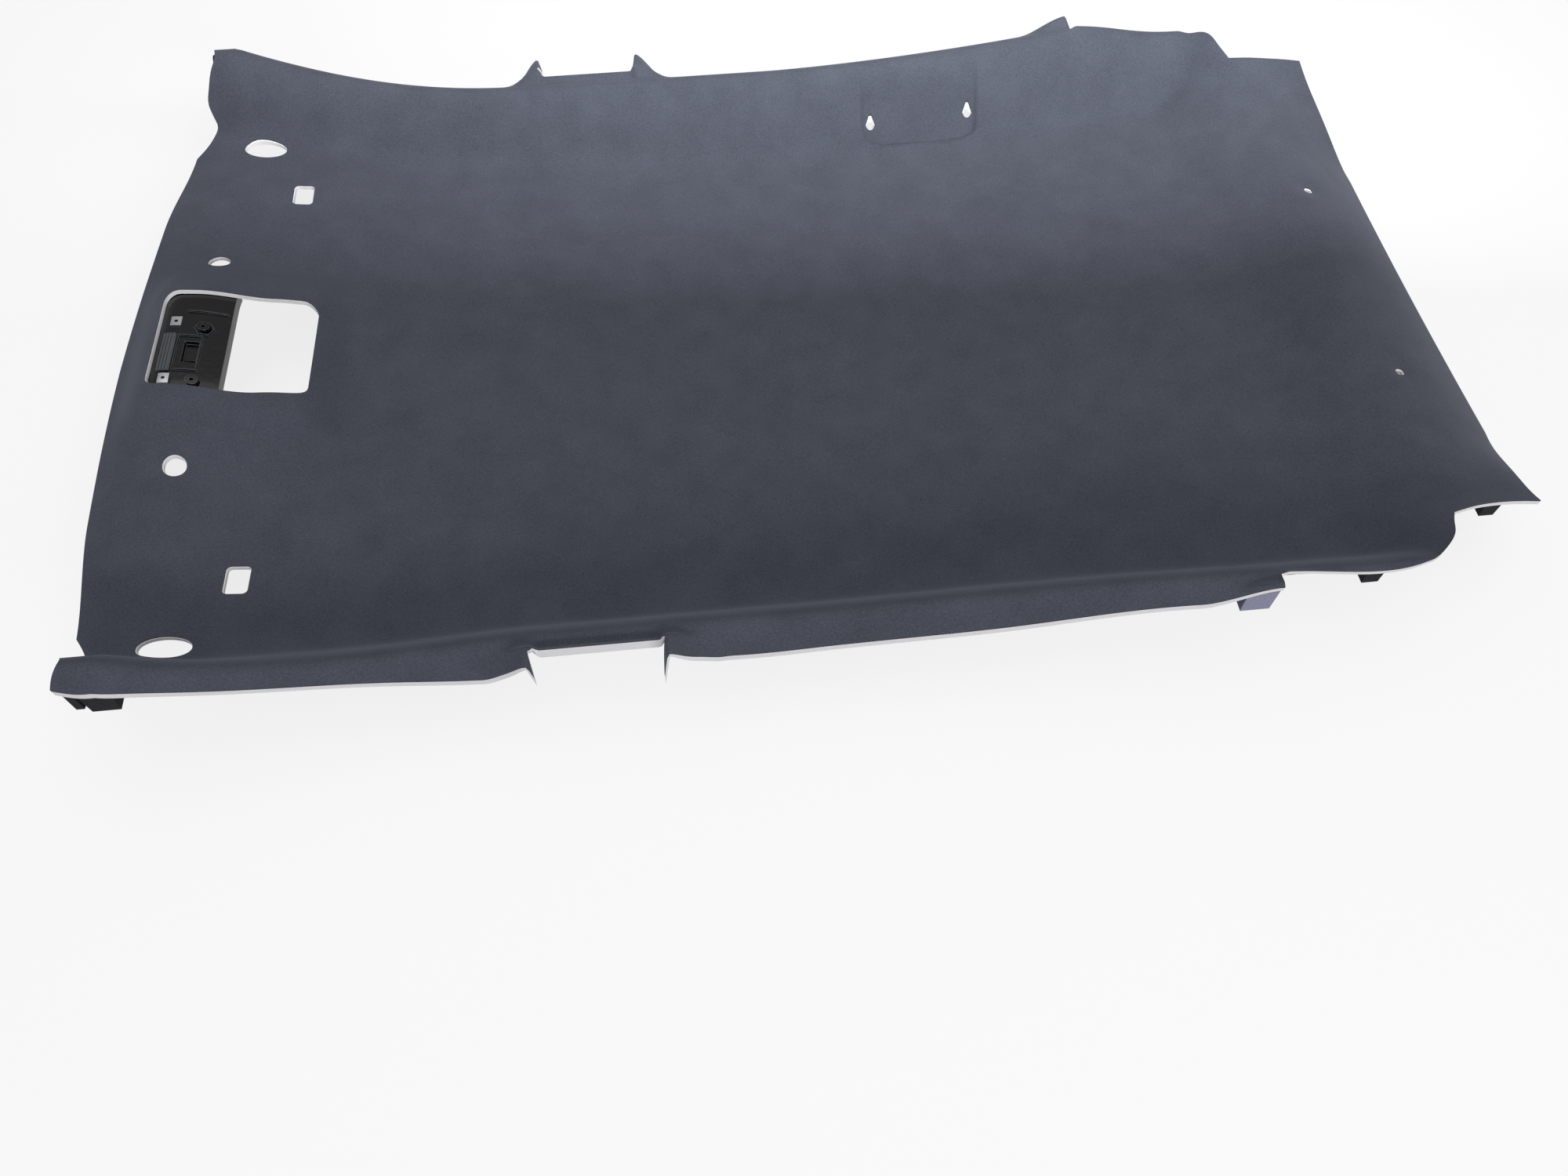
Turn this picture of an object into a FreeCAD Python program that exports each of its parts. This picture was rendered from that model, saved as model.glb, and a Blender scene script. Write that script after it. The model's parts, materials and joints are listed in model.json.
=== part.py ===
import FreeCAD, Part
import math
import os
from types import SimpleNamespace
from FreeCAD import Rotation, Vector

# Moulded headliner panel for a family car, fabric face up, as it lies on its crowned roof side.
# Millimetres. +X runs to the rear of the vehicle, +Y to its left side and +Z up. The origin is on
# the ground, under the middle of the panel's length and width.
# "front" sizes are measured back from the front edge, "rear" sizes forward from the rear edge, and
# "half" sizes are distances from the centre plane to either side.

sizes = [
    ("panel_length", 2031, "front edge to rear edge on the centre plane"),
    ("fabric_thickness", 2, "knit face fabric with its thin foam backing"),
    ("board_thickness", 5.5, "moulded board that carries the fabric"),
    ("steepest", 3.2, "greatest vertical thickness on a steep wall, as a share of the true one"),
    # Crowned roof area
    ("belly_front", 1030, "lowest point of the crown"),
    ("crown_front_rise", 80, "rise of the crown towards the windscreen"),
    ("crown_rear_rise", 72, "rise of the crown towards the tailgate"),
    ("crown_side_rise", 8, "rise across the roof"),
    ("crown_side_half", 420, "half width over which that rise is measured"),
    ("header_rise", 14, "rise of the header over the windscreen"),
    ("header_start", 370, "front distance where the header rise starts"),
    ("header_end", 230, "front distance where it is complete"),
    ("visor_rise", 16, "raised band between the sun visors"),
    ("visor_start", 226, "front distance where the band starts"),
    ("visor_end", 120, "front distance where it is complete"),
    ("visor_inner_half", 300, "half width of the full band"),
    ("visor_outer_half", 470, "half width where the band has faded out"),
    ("front_drop", 30, "fall of the last stretch to the front edge"),
    ("front_drop_length", 90, "length of that fall"),
    ("rear_rise", 40, "step up to the shelf before the tailgate"),
    ("rear_rise_start", 318, "rear distance where the step starts"),
    ("rear_rise_end", 148, "rear distance where it is complete"),
    ("rear_drop", 90, "fall of the shelf to the rear edge"),
    ("rear_drop_length", 168, "length of that fall"),
    ("rear_calm_half", 300, "half width from which step and fall calm down"),
    ("rear_calm_end", 480, "half width where they are half as high"),
    ("wing_rise", 58, "rise of the rear corners"),
    ("wing_start_half", 300, "half width where it starts"),
    ("wing_width", 190, "width over which it grows"),
    ("wing_front", 308, "rear distance where it starts"),
    ("wing_rear", 193, "rear distance where it is complete"),
    # Raised platform around the overhead console
    ("platform_height", 52, "height above the crown"),
    ("platform_top_half", 86, "half width of its flat top"),
    ("platform_foot_half", 235, "half width of its foot"),
    ("platform_ramp", 102, "front distance where it is at full height"),
    ("platform_top_end", 271, "front distance where its top ends"),
    ("platform_foot_end", 341, "front distance where its foot ends"),
    # Side rails: a wall that rises to a rounded crest, then a lip that turns down
    ("crest_half", 566, "half width at the crest beside the doors"),
    ("crest_height", 132.5, "height of the crest beside the doors"),
    ("ear_widen", 29, "how much wider the crest is at the front ears"),
    ("ear_widen_start", 630, "front distance where it starts to widen"),
    ("ear_widen_end", 180, "front distance where it is widest"),
    ("ear_lift", 87, "rise of the crest to the front ears"),
    ("ear_lift_start", 566, "front distance where the crest starts to rise"),
    ("ear_lift_length", 430, "length of that rise"),
    ("pillar_rear", 462, "rear distance of the step behind the rear doors"),
    ("pillar_widen", 21, "how much wider the crest is there"),
    ("pillar_lift", 31, "how much higher the crest is there"),
    ("quarter_narrow", 6, "narrowing of the crest behind that step"),
    ("quarter_drop", 14, "fall of the crest behind that step"),
    ("quarter_end", 275, "rear distance where both are complete"),
    ("corner_drop", 75, "fall of the crest into the rear corner"),
    ("corner_start", 263, "rear distance where the corner starts"),
    ("corner_end", 168, "rear distance where the corner ends"),
    ("crest_radius", 31, "rounding of the crest"),
    ("wall_slope", 1.9, "slope of the wall beside the doors"),
    ("ear_wall_slope", 2.4, "slope of the wall at the front ears"),
    ("lip_slope", 2.3, "slope of the lip"),
    ("root_blend", 30, "softness of the cove where wall and roof area meet"),
    ("ear_root_blend", 20, "softness of the cove at the front ears"),
    ("ear_front", 141, "front distance of the full ear section"),
    ("ear_back", 336, "front distance where that section starts"),
    # Turned-up edges at the pillars
    ("notch_front", 633, "front end of the notch at the centre pillars"),
    ("notch_length", 166, "length of that notch"),
    ("notch_half", 581, "half width at the bottom of the notch"),
    ("flange_width", 9, "width of the turned-up edge"),
    ("flange_rise", 19, "height of the turned-up edge in the notch"),
    ("quarter_flange_rise", 5, "height of the turned-up edge behind the rear step"),
    ("horn_length", 70, "length over which the lip lifts towards the pillars"),
    ("horn_rear_length", 95, "the same before the rear step"),
    ("horn_rise", 22, "lift of the lip beside the notch"),
    ("horn_tilt", 1.9, "how steeply its edge turns up there"),
    ("horn_rear_rise", 19, "lift of the lip before the rear step"),
    ("horn_rear_tilt", 1.35, "how steeply its edge turns up there"),
    # Pocket for the grab handle, on the left side
    ("pocket_front", 1299, "middle of the pocket"),
    ("pocket_half_length", 102, "half of its length"),
    ("pocket_depth", 11, "depth of the pocket"),
    ("pocket_low_half", 476, "half width at its lower crease"),
    ("pocket_corner", 16, "how far the crease turns up at its ends"),
    ("handle_hole_spacing", 176, "between the two handle holes"),
    ("handle_hole_front_half", 504.5, "half width of the front handle hole at its widest"),
    ("handle_hole_rear_half", 510, "half width of the rear handle hole at its widest"),
    ("handle_hole_width", 16, "width of a handle hole"),
    ("handle_hole_round", 4.5, "length of its rounded end"),
    ("handle_hole_point", 8.5, "length of its pointed end"),
    # Plan outline
    ("front_bow", 36, "how far the front edge bows back at its reference half width"),
    ("front_bow_half", 434, "half width where that is measured"),
    ("front_end_half", 480, "half width where the front edge meets the ears"),
    ("rear_straight_half", 285, "half width of the straight rear edge"),
    ("rear_corner_half", 488, "half width of the rear corners"),
    ("rear_corner_sweep", 62, "how far the rear corners sweep forward"),
    ("quarter_half", 583, "half width of the edge behind the rear step"),
    # Openings
    ("console_front", 79, "front end of the console cutout"),
    ("console_length", 212, "length of the console cutout"),
    ("console_half", 94, "half width of the console cutout"),
    ("console_corner", 20, "corner radius of the console cutout"),
    ("visor_hole_front", 154, "sun visor opening"),
    ("visor_hole_half", 501, "half width of the sun visor openings"),
    ("visor_hole_length", 66, "length of a sun visor opening"),
    ("visor_hole_width", 35, "width of a sun visor opening"),
    ("round_hole_front", 123, "round opening"),
    ("round_hole_half", 208, "half width of the round openings"),
    ("round_hole_radius", 15, "radius of a round opening"),
    ("hook_hole_front", 225, "visor hook opening"),
    ("hook_hole_half", 393, "half width of the visor hook openings"),
    ("hook_hole_length", 30, "length of a visor hook opening"),
    ("hook_hole_width", 44, "width of a visor hook opening"),
    ("hook_hole_corner", 6, "its corner radius"),
    ("clip_hole_rear", 126, "rear clip hole"),
    ("clip_hole_half", 205, "half width of the rear clip holes"),
    ("clip_hole_radius", 5, "radius of a rear clip hole"),
    # Moulded bracket under the front of the console cutout
    ("bracket_margin", 16, "how far the bracket reaches under the board"),
    ("bracket_reach", 96, "how far it shows behind the front end of the cutout"),
    ("bracket_thickness", 2.5, "plate of the bracket"),
    ("bracket_rib_height", 14, "ribs under the plate"),
    ("bracket_boss_radius", 8.5, "screw bosses"),
    ("bracket_boss_height", 8, "screw bosses above the plate"),
    ("bracket_screw_radius", 3, "screw holes in the bosses"),
    ("boss_middle", -31, "middle between the bosses, off the centre plane"),
    ("boss_spacing", 106, "between the bosses"),
    ("boss_back", 64, "from the front end of the cutout back to the bosses"),
    ("collar_radius", 14, "six-sided collar around the left boss, to its corners"),
    ("ridge_width", 1.6, "ridges on the plate"),
    ("ridge_height", 3, "ridges above the plate"),
    ("frame_back", 48, "ridge around the well: its middle"),
    ("frame_length", 34, "its length"),
    ("frame_width", 70, "its width"),
    ("frame_middle", -27, "its middle, off the centre plane"),
    ("rail_back", 64, "straight ridge: its middle"),
    ("rail_length", 54, "its length"),
    ("rail_half", 57, "its place left of the centre plane"),
    ("well_back", 51, "well for the console's plug: its middle"),
    ("well_length", 20, "its length"),
    ("well_width", 42, "its width"),
    ("well_middle", -25, "its middle, off the centre plane"),
    ("well_depth", 7, "its depth"),
    ("slot_length", 16, "slot in the floor of the well, along the vehicle"),
    ("slot_width", 7, "width of that slot"),
    ("slot_middle", -40, "its middle, off the centre plane"),
    ("slot_depth", 4, "its depth below that floor"),
    ("clip_middle", -25.5, "middle between the clips, off the centre plane"),
    ("clip_spacing", 113, "between the spring clips"),
    ("clip_back", 26, "from the front end of the cutout back to the clips"),
    ("clip_length", 15, "spring clip, along the vehicle"),
    ("clip_width", 18, "spring clip, across it"),
    ("clip_height", 6, "spring clip above the plate"),
    ("clip_hole_size", 2.6, "radius of the hole in its top"),
    ("strip_length", 18, "ribbed strip, along the vehicle"),
    ("strip_width", 72, "ribbed strip, across it"),
    ("strip_back", 20, "from the front end of the cutout back to the strip"),
    ("strip_middle", -28, "its middle, off the centre plane"),
    ("strip_height", 5, "ribbed strip above the plate"),
    ("strip_groove", 2, "grooves of the strip"),
    # Energy-absorbing blocks under the rails, one of each on both sides
    ("front_block_front", 127, "front block, on its middle"),
    ("front_block_half", 596, "half width of its middle"),
    ("front_block_length", 42, "length at its top"),
    ("front_block_foot", 34, "length at its foot"),
    ("front_block_width", 34, "width"),
    ("front_block_foot_height", 140, "height of its foot above the ground"),
    ("ear_wedge_front", 101, "wedge in the ear, on its middle"),
    ("ear_wedge_half", 599, "half width of its middle"),
    ("ear_wedge_length", 10, "length"),
    ("ear_wedge_width", 30, "width"),
    ("ear_wedge_foot_height", 150, "height of its foot above the ground"),
    ("pillar_block_rear", 484, "grey block, on its middle"),
    ("pillar_block_half", 590, "half width of its middle"),
    ("pillar_block_length", 44, "length at its top"),
    ("pillar_block_foot", 38, "length at its foot"),
    ("pillar_block_width", 30, "width"),
    ("pillar_block_foot_height", 121, "height of its foot above the ground"),
    ("quarter_wedge_rear", 318, "quarter wedge, on its middle"),
    ("quarter_wedge_half", 562, "half width of its middle"),
    ("quarter_wedge_length", 30, "length at its top"),
    ("quarter_wedge_foot", 22, "length at its foot"),
    ("quarter_wedge_width", 24, "width"),
    ("quarter_wedge_foot_height", 112, "height of its foot above the ground"),
    ("rear_wedge_rear", 124, "rear wedge, on its middle"),
    ("rear_wedge_half", 474, "half width of its middle"),
    ("rear_wedge_length", 30, "length at its top"),
    ("rear_wedge_foot", 20, "length at its foot"),
    ("rear_wedge_width", 24, "width"),
    ("rear_wedge_foot_height", 112, "height of its foot above the ground"),
]

doc = FreeCAD.newDocument("headliner")
sheet = doc.addObject("Spreadsheet::Sheet", "sizes")
for row, (alias, value, note) in enumerate(sizes, start=1):
    sheet.set(f"A{row}", alias)
    sheet.set(f"B{row}", str(value))
    sheet.set(f"C{row}", note)
    sheet.setAlias(f"B{row}", alias)
doc.recompute()


# Every size as the sheet holds it, for the shapes that are worked out in code.
size = SimpleNamespace(**{alias: float(sheet.get(alias)) for alias, value, note in sizes})
front_end = -size.panel_length / 2
rear_end = size.panel_length / 2


# Surface of the panel, as a height over its plan. front and rear are the distances from the two
# ends, and half is the distance from the centre plane.

def step(value, start, end):
    """0 before start, 1 past end, smooth in between."""
    share = min(max((value - start) / (end - start), 0), 1)
    return share * share * (3 - 2 * share)


def past(value):
    return max(value, 0)


def soft_max(one, other, softness):
    return (one + other + math.hypot(one - other, softness)) / 2


def door_share(rear):
    """0 at the lowest point of the crown, 1 at the step behind the rear doors."""
    door_end = size.panel_length - size.belly_front
    return min(past(door_end - rear) / (door_end - size.pillar_rear), 1)


def crest_half(front, rear):
    """Half width of the crest of the side rail."""
    half = size.crest_half
    half += size.ear_widen * step(front, size.ear_widen_start, size.ear_widen_end)
    half += size.pillar_widen * door_share(rear) ** 2.2
    return half - size.quarter_narrow * step(rear, size.pillar_rear, size.quarter_end)


def crest_height(front, rear):
    ear = min(past(size.ear_lift_start - front) / size.ear_lift_length, 1)
    height = size.crest_height + size.ear_lift * ear ** 2.4
    height += size.pillar_lift * door_share(rear) ** 1.4
    height -= size.quarter_drop * step(rear, size.pillar_rear, size.quarter_end)
    return height - size.corner_drop * step(rear, size.corner_start, size.corner_end)


def pillar_edge(front, rear, half, beyond_crest):
    """Lift of the lip where it meets a pillar: horns at the notch ends, a turned-up edge in it."""
    notch_end = size.notch_front + size.notch_length
    beside_notch = (step(front, size.notch_front - size.horn_length, size.notch_front)
                    * step(front, notch_end + size.horn_length, notch_end))
    before_step = (step(rear, size.pillar_rear + size.horn_rear_length, size.pillar_rear)
                   * step(rear, size.pillar_rear - 30, size.pillar_rear))
    notch = (step(front, size.notch_front - 3, size.notch_front + 9)
             * step(front, notch_end + 3, notch_end - 9))
    quarter = (step(rear, size.pillar_rear, size.pillar_rear - 16)
               * step(rear, size.quarter_end + 30, size.pillar_rear))
    up = min(past(half - size.notch_half + size.flange_width) / size.flange_width, 1.2)
    turned = (beyond_crest - 15 + math.hypot(beyond_crest - 15, 8)) / 2
    raised = step(beyond_crest, 2, 19)
    lift = beside_notch * (1 - notch) * (size.horn_rise * raised + size.horn_tilt * turned)
    lift += before_step * (size.horn_rear_rise * raised + size.horn_rear_tilt * turned)
    return lift + (notch * size.flange_rise + quarter * size.quarter_flange_rise) * up ** 2


def side_rail(front, rear, half):
    """Wall, rounded crest and lip of the side rail."""
    beyond = half - crest_half(front, rear)
    wall = size.wall_slope
    wall += (size.ear_wall_slope - size.wall_slope) * step(front, size.ear_back, size.ear_front)
    mean_slope = (wall + size.lip_slope) / 2
    rounding = math.hypot(beyond, size.crest_radius) - size.crest_radius
    height = crest_height(front, rear) - (size.lip_slope - wall) / 2 * beyond
    return height - mean_slope * rounding + pillar_edge(front, rear, half, beyond)


def crown(front, rear, half):
    """Roof area between the rails, with its header, shelf and falls to both ends."""
    height = size.board_thickness + size.fabric_thickness
    height += size.crown_front_rise * (past(size.belly_front - front) / size.belly_front) ** 2
    height += size.crown_rear_rise * (past(front - size.belly_front)
                                      / (size.panel_length - size.belly_front)) ** 2
    height += size.crown_side_rise * (half / size.crown_side_half) ** 2
    height += size.header_rise * step(front, size.header_start, size.header_end)
    height += (size.visor_rise * step(front, size.visor_start, size.visor_end)
               * (1 - step(half, size.visor_inner_half, size.visor_outer_half)))
    height -= size.front_drop * (past(size.front_drop_length - front) / size.front_drop_length) ** 2
    calm = 1 - 0.5 * step(half, size.rear_calm_half, size.rear_calm_end)
    height += size.rear_rise * step(rear, size.rear_rise_start, size.rear_rise_end) * calm
    fall = (past(size.rear_drop_length - rear) / size.rear_drop_length) ** 1.8
    return height - size.rear_drop * fall * calm


def console_platform(front, half):
    return (size.platform_height * step(half, size.platform_foot_half, size.platform_top_half)
            * step(front, 0, size.platform_ramp)
            * step(front, size.platform_foot_end, size.platform_top_end))


def rear_wing(rear, half):
    share = past(half - size.wing_start_half) / size.wing_width
    return size.wing_rise * share ** 1.9 * step(rear, size.wing_front, size.wing_rear)


def handle_pocket(front, side):
    """Depth of the grab handle's pocket, on the left side, which is the positive one."""
    along = abs(front - size.pocket_front)
    straight = size.pocket_half_length - 42
    low = size.pocket_low_half + size.pocket_corner * (past(along - straight) / 48) ** 2
    ends = step(along, size.pocket_half_length + 4, size.pocket_half_length - 4)
    return size.pocket_depth * ends * step(side, low - 5, low + 6) * step(side, low + 73, low + 25)


def fabric_height(x, y):
    """Height of the fabric's face."""
    front = x - front_end
    rear = rear_end - x
    half = abs(y)
    roof = crown(front, rear, half) + console_platform(front, half) + rear_wing(rear, half)
    softness = size.root_blend
    softness += (size.ear_root_blend - size.root_blend) * step(front, size.ear_back, size.ear_front)
    return soft_max(roof, side_rail(front, rear, half), softness) - handle_pocket(front, y)


def thickening(x, y):
    """Vertical thickness of a layer, for each millimetre of its true thickness."""
    slope_x = (fabric_height(x + 1, y) - fabric_height(x - 1, y)) / 2
    slope_y = (fabric_height(x, y + 1) - fabric_height(x, y - 1)) / 2
    return min(math.sqrt(1 + slope_x ** 2 + slope_y ** 2), size.steepest)


def spaced(start, stops):
    """Places from start through each stop, at that stop's spacing."""
    places = [start]
    for stop, spacing in stops:
        begin = places[-1]
        count = max(1, round((stop - begin) / spacing))
        places += [begin + (stop - begin) * (number + 1) / count for number in range(count)]
    return places


notch_front = front_end + size.notch_front
notch_rear = notch_front + size.notch_length
pocket_front = front_end + size.pocket_front - size.pocket_half_length
pocket_rear = front_end + size.pocket_front + size.pocket_half_length
pillar = rear_end - size.pillar_rear
stations = spaced(front_end - 30, [
    (front_end + size.ear_front, 10), (notch_front - size.horn_length, 18), (notch_front - 12, 8),
    (notch_front + 16, 4), (notch_rear - 16, 22), (notch_rear + 12, 4),
    (notch_rear + size.horn_length, 9), (pocket_front - 12, 24), (pocket_front + 12, 4),
    (pocket_front + 42, 10), (pocket_rear - 42, 20), (pocket_rear - 12, 10), (pocket_rear + 12, 4),
    (pillar - size.horn_rear_length, 20), (pillar - 14, 9), (pillar + 24, 4),
    (rear_end - size.quarter_end, 18), (rear_end + 30, 11)])
# Lines along the panel: even between the rails, and at fixed distances from the crest on them.
rail_width = 170
middle_lines = 18
rail_lines = spaced(-rail_width, [(-70, 10), (-38, 5.5), (46, 4)])


def panel_grid():
    """Plan points of the grid with the fabric's height above the ground and the thickening."""
    grid = []
    for x in stations:
        crest = crest_half(x - front_end, rear_end - x)
        halves = [(crest - rail_width) * line / middle_lines for line in range(middle_lines)]
        halves += [crest + distance for distance in rail_lines]
        across = [-half for half in reversed(halves[1:])] + halves
        grid.append([(x, y, fabric_height(x, y), thickening(x, y)) for y in across])
    layers = size.fabric_thickness + size.board_thickness
    lowest = min(z - layers * share for row in grid for x, y, z, share in row
                 if front_end <= x <= rear_end)
    return [[(x, y, z - lowest, share) for x, y, z, share in row] for row in grid]


def layer_surface(depth):
    """Smooth surface that lies depth under the fabric's face."""
    poles = [[Vector(x, y, z - depth * share) for x, y, z, share in row] for row in grid]
    surface = Part.BSplineSurface()
    knots_x = list(range(len(poles) - 2))
    knots_y = list(range(len(poles[0]) - 2))
    ends_x = [4] + [1] * (len(knots_x) - 2) + [4]
    ends_y = [4] + [1] * (len(knots_y) - 2) + [4]
    surface.buildFromPolesMultsKnots(poles, ends_x, ends_y, knots_x, knots_y, False, False, 3, 3)
    return surface


# Plan outline. The lip's edge is given by its reach beyond the crest.

def lip_point(x, reach):
    return (x, crest_half(x - front_end, rear_end - x) + reach)


def half_outline():
    """Edges of the left half, from the front centre line to the rear one."""
    ear = front_end + size.front_bow
    front_edge = [(front_end + size.front_bow * (half / size.front_bow_half) ** 1.6, half)
                  for half in (size.front_end_half * part / 6 for part in range(7))]
    ear_tip = (ear + 57, crest_half(size.front_bow + 57, size.panel_length) + 22)
    end = size.front_end_half
    ear_edge = [front_edge[-1], (ear + 22, end + 23), (ear + 36, end + 42), (ear + 44, end + 51),
                (ear + 41, end + 58), (ear + 38, end + 65), (ear + 44, end + 76),
                (ear + 56, end + 92), (ear + 65, end + 104), (ear + 66, end + 114),
                (ear + 62, end + 126), ear_tip]
    horn_front = (notch_front + 2, size.notch_half + 34)
    horn_rear = (notch_rear - 6, size.notch_half + 33)
    front_lip = [ear_tip, lip_point(ear + 85, 26), lip_point(ear + 128, 24), lip_point(ear + 206, 18.5),
                 lip_point(ear + 332, 17), lip_point(ear + 418, 21), lip_point(notch_front - 82, 28),
                 lip_point(notch_front - 42, 33), lip_point(notch_front - 18, 42), horn_front]
    notch = [horn_front, (notch_front - 3, size.notch_half + 9), (notch_front + 5, size.notch_half),
             (notch_rear - 7, size.notch_half), (notch_rear, size.notch_half + 3), horn_rear]
    door_lip = [horn_rear, lip_point(notch_rear + 19, 42), lip_point(notch_rear + 42, 32.5),
                lip_point(notch_rear + 92, 28), lip_point(0, 27), lip_point(pillar - 325, 26),
                lip_point(pillar - 128, 21), lip_point(pillar - 2, 22)]
    shelf_front = (rear_end - size.rear_corner_sweep - 127, size.rear_corner_half + 11)
    quarter = [(pillar + 4, size.quarter_half), (rear_end - size.quarter_end - 43, size.quarter_half),
               (rear_end - size.quarter_end, size.quarter_half - 4),
               (rear_end - 242, size.quarter_half - 14), (rear_end - 215, size.quarter_half - 39),
               (rear_end - 203, size.quarter_half - 62), shelf_front]
    corner = (rear_end - size.rear_corner_sweep, size.rear_corner_half)
    shelf = [shelf_front, (shelf_front[0] + 26, size.rear_corner_half + 6), corner]
    straight = (rear_end, size.rear_straight_half)
    rear_corner = [corner, (rear_end - 50, size.rear_corner_half - 38),
                   (rear_end - 31, size.rear_corner_half - 88),
                   (rear_end - 13, size.rear_straight_half + 60), straight]
    return {"front": front_edge, "ear": ear_edge, "front_lip": front_lip, "notch": notch,
            "door_lip": door_lip, "quarter": quarter, "shelf": shelf, "rear_corner": rear_corner}


def curve_through(points, **tangents):
    curve = Part.BSplineCurve()
    curve.interpolate(Points=[Vector(x, y, 0) for x, y in points], **tangents)
    return curve.toShape()


def line_between(one, other):
    return Part.makeLine(Vector(*one, 0), Vector(*other, 0))


def outline_face():
    left = half_outline()
    front = left["front"]
    edges = [curve_through([(x, -y) for x, y in reversed(front)] + front[1:])]
    for side in (1, -1):
        half = {name: [(x, side * y) for x, y in points] for name, points in left.items()}
        edges += [line_between(*pair) for pair in zip(half["notch"], half["notch"][1:])]
        edges += [curve_through(half[name]) for name in ("ear", "front_lip", "door_lip", "quarter",
                                                         "shelf")]
        edges.append(curve_through(half["rear_corner"], FinalTangent=Vector(0, -side, 0)))
        edges.append(line_between(half["door_lip"][-1], half["quarter"][0]))
    edges.append(line_between((rear_end, size.rear_straight_half),
                              (rear_end, -size.rear_straight_half)))
    return Part.Face(Part.Wire(Part.__sortEdges__(edges)))


highest = size.crest_height + size.ear_lift + 60
grid = panel_grid()
column = outline_face().extrude(Vector(0, 0, highest))
column.translate(Vector(0, 0, -30))


def under(depth):
    """Everything below the layer surface at that depth."""
    return layer_surface(depth).toShape().extrude(Vector(0, 0, -3 * highest))


full_thickness = size.fabric_thickness + size.board_thickness
under_fabric = under(size.fabric_thickness)
board_blank = column.common(under_fabric).cut(under(full_thickness))
fabric_blank = column.common(under(0)).cut(under_fabric)


def part_of_surface(surface, x, y, length, width):
    """The same surface, only around the middle x, y."""
    rows = [index for index, place in enumerate(stations) if abs(place - x) < length / 2 + 12]
    lines = [index for index in range(len(grid[0]))
             if any(abs(grid[row][index][1] - y) < width / 2 + 12 for row in rows)]
    patch = surface.copy()
    patch.segment(max(rows[0] - 3, 0), min(rows[-1] + 1, len(stations) - 3),
                  max(lines[0] - 3, 0), min(lines[-1] + 1, len(grid[0]) - 3))
    return patch.toShape()


# Shapes bound to the sheet.

def bind(piece, **expressions):
    for name, expression in expressions.items():
        piece.setExpression(name.replace("__", "."), expression)
    return piece


def place(piece, x, y, z):
    """Expressions for a piece's position; front and rear distances are turned into x here."""
    return bind(piece, Placement__Base__x=x, Placement__Base__y=y, Placement__Base__z=z)


def from_front(distance):
    return f"-sizes.panel_length / 2 + {distance}"


def from_rear(distance):
    return f"sizes.panel_length / 2 - ({distance})"


def drill(name, radius, x, y, z="-20", height=3 * highest):
    piece = doc.addObject("Part::Cylinder", name)
    piece.Height = height
    bind(piece, Radius=radius)
    return place(piece, x, y, z)


def block(name, length, width, height, x, y, z):
    """Box with x and y at its middle and z at its foot."""
    piece = doc.addObject("Part::Box", name)
    bind(piece, Length=length, Width=width, Height=height)
    return place(piece, f"({x}) - ({length}) / 2", f"({y}) - ({width}) / 2", z)


def join(name, pieces):
    piece = doc.addObject("Part::MultiFuse", name)
    piece.Shapes = pieces
    return piece


def cut(name, base, tool):
    piece = doc.addObject("Part::Cut", name)
    piece.Base = base
    piece.Tool = tool
    return piece


def common(name, base, tool):
    piece = doc.addObject("Part::Common", name)
    piece.Base = base
    piece.Tool = tool
    return piece


def feature(name, shape):
    piece = doc.addObject("Part::Feature", name)
    piece.Shape = shape
    piece.Placement = FreeCAD.Placement()
    return piece


def round_upright_edges(name, base, radius):
    doc.recompute()
    upright = [number for number, edge in enumerate(base.Shape.Edges, start=1)
               if abs(edge.tangentAt(edge.FirstParameter).z) > 0.99]
    piece = doc.addObject("Part::Fillet", name)
    piece.Base = base
    piece.Edges = [(number, radius, radius) for number in upright]
    return piece


def side_name(side):
    return "left" if side > 0 else "right"


sides = (1, -1)


# Openings through board and fabric.

def console_opening():
    opening = block("console_opening", "sizes.console_length", "2 * sizes.console_half",
                    str(3 * highest),
                    from_front("sizes.console_front + sizes.console_length / 2"), "0", "-20")
    return round_upright_edges("console_opening_rounded", opening, size.console_corner)


def oval_opening(side):
    ellipse = doc.addObject("Part::Ellipse", "visor_oval_" + side_name(side))
    bind(ellipse, MajorRadius="sizes.visor_hole_length / 2",
         MinorRadius="sizes.visor_hole_width / 2")
    place(ellipse, from_front("sizes.visor_hole_front"), f"{side} * sizes.visor_hole_half", "-20")
    opening = doc.addObject("Part::Extrusion", "visor_opening_" + side_name(side))
    opening.Base = ellipse
    opening.DirMode = "Custom"
    opening.Dir = Vector(0, 0, 1)
    opening.LengthFwd = 3 * highest
    opening.Solid = True
    return opening


def hook_opening(side):
    opening = block("hook_opening_" + side_name(side), "sizes.hook_hole_length",
                    "sizes.hook_hole_width", str(3 * highest),
                    from_front("sizes.hook_hole_front"), f"{side} * sizes.hook_hole_half", "-20")
    return round_upright_edges("hook_opening_rounded_" + side_name(side), opening,
                               size.hook_hole_corner)


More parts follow.
